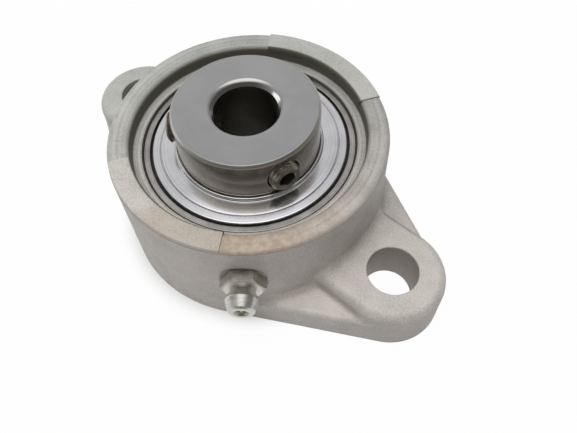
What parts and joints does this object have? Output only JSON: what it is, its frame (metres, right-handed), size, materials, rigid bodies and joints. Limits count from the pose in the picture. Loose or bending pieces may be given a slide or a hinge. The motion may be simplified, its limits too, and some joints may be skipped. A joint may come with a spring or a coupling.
{
  "type": "two-bolt flange bearing",
  "caption": "Cast flange housing with ears for bolts, carrying a self-aligning ball bearing whose collar grips a shaft with set screws, with a grease nipple in its side.",
  "frame": {"origin": "middle of the bolt line, on the mounting face", "axes": "+X along the bolt line, +Z along the shaft, out of the collar's side"},
  "size_m": [0.099, 0.0592, 0.0325],
  "materials": {
    "cast_steel": "blasted casting",
    "turned_steel": "fine turned",
    "polished_steel": "polished",
    "ball_steel": "polished",
    "cage_steel": "pressed sheet",
    "seal_rubber": "matt",
    "screw_steel": "satin",
    "nipple_steel": "satin",
    "spring_steel": "drawn wire"
  },
  "bodies": {
    "housing": {"flange_housing": "cast_steel", "grease_nipple": "nipple_steel", "nipple_spring": "spring_steel", "nipple_spring_seat": "nipple_steel"},
    "outer": {"outer_ring": "turned_steel", "front_seal": "seal_rubber", "rear_seal": "seal_rubber"},
    "inner": {"inner_ring": "turned_steel", "front_slinger": "polished_steel", "rear_slinger": "polished_steel"},
    "cage": {"cage_front": "cage_steel", "cage_rear": "cage_steel", "cage_rivets": "cage_steel"},
    "first_screw": {"set_screw_1": "screw_steel"},
    "second_screw": {"set_screw_2": "screw_steel"},
    "check_ball": {"nipple_check_ball": "ball_steel"},
    "ball_1": {"ball_1": "ball_steel"},
    "ball_2": {"ball_2": "ball_steel"},
    "ball_3": {"ball_3": "ball_steel"},
    "ball_4": {"ball_4": "ball_steel"},
    "ball_5": {"ball_5": "ball_steel"},
    "ball_6": {"ball_6": "ball_steel"},
    "ball_7": {"ball_7": "ball_steel"},
    "ball_8": {"ball_8": "ball_steel"}
  },
  "joints": [
    {"name": "align_tilt", "type": "hinge", "parent": "housing", "child": "outer", "pos_m": [0, 0, 0.0142], "axis": [1, 0, 0], "range_deg": [-2, 2]},
    {"name": "shaft_spin", "type": "hinge", "parent": "outer", "child": "inner", "pos_m": [0, 0, 0.0142], "axis": [0, 0, 1], "continuous": true},
    {"name": "cage_spin", "type": "hinge", "parent": "outer", "child": "cage", "pos_m": [0, 0, 0.0142], "axis": [0, 0, 1], "continuous": true},
    {"name": "ball_1_spin", "type": "hinge", "parent": "cage", "child": "ball_1", "pos_m": [0.01675, 0, 0.0142], "axis": [0, 0, 1], "continuous": true},
    {"name": "ball_2_spin", "type": "hinge", "parent": "cage", "child": "ball_2", "pos_m": [0.01184, 0.01184, 0.0142], "axis": [0, 0, 1], "continuous": true},
    {"name": "ball_3_spin", "type": "hinge", "parent": "cage", "child": "ball_3", "pos_m": [0, 0.01675, 0.0142], "axis": [0, 0, 1], "continuous": true},
    {"name": "ball_4_spin", "type": "hinge", "parent": "cage", "child": "ball_4", "pos_m": [-0.01184, 0.01184, 0.0142], "axis": [0, 0, 1], "continuous": true},
    {"name": "ball_5_spin", "type": "hinge", "parent": "cage", "child": "ball_5", "pos_m": [-0.01675, 0, 0.0142], "axis": [0, 0, 1], "continuous": true},
    {"name": "ball_6_spin", "type": "hinge", "parent": "cage", "child": "ball_6", "pos_m": [-0.01184, -0.01184, 0.0142], "axis": [0, 0, 1], "continuous": true},
    {"name": "ball_7_spin", "type": "hinge", "parent": "cage", "child": "ball_7", "pos_m": [0, -0.01675, 0.0142], "axis": [0, 0, 1], "continuous": true},
    {"name": "ball_8_spin", "type": "hinge", "parent": "cage", "child": "ball_8", "pos_m": [0.01184, -0.01184, 0.0142], "axis": [0, 0, 1], "continuous": true},
    {"name": "set_screw_1_travel", "type": "slide", "parent": "inner", "child": "first_screw", "axis": [-0.9483, 0.3173, 0], "range_m": [-0.002, 0.0016]},
    {"name": "set_screw_2_travel", "type": "slide", "parent": "inner", "child": "second_screw", "axis": [0.749, 0.6626, 0], "range_m": [-0.002, 0.0016]},
    {"name": "check_ball_press", "type": "slide", "parent": "housing", "child": "check_ball", "axis": [-0.6374, 0.7705, 0], "range_m": [0, 0.0008], "stiffness_N_per_m": 300, "springref_m": -0.0004, "deforming": ["nipple_spring"]}
  ],
  "couplings": [
    {"joint": "cage_spin", "follows": "shaft_spin", "ratio": 0.3815},
    {"joint": "ball_1_spin", "follows": "shaft_spin", "ratio": -1.9916},
    {"joint": "ball_2_spin", "follows": "shaft_spin", "ratio": -1.9916},
    {"joint": "ball_3_spin", "follows": "shaft_spin", "ratio": -1.9916},
    {"joint": "ball_4_spin", "follows": "shaft_spin", "ratio": -1.9916},
    {"joint": "ball_5_spin", "follows": "shaft_spin", "ratio": -1.9916},
    {"joint": "ball_6_spin", "follows": "shaft_spin", "ratio": -1.9916},
    {"joint": "ball_7_spin", "follows": "shaft_spin", "ratio": -1.9916},
    {"joint": "ball_8_spin", "follows": "shaft_spin", "ratio": -1.9916}
  ]
}
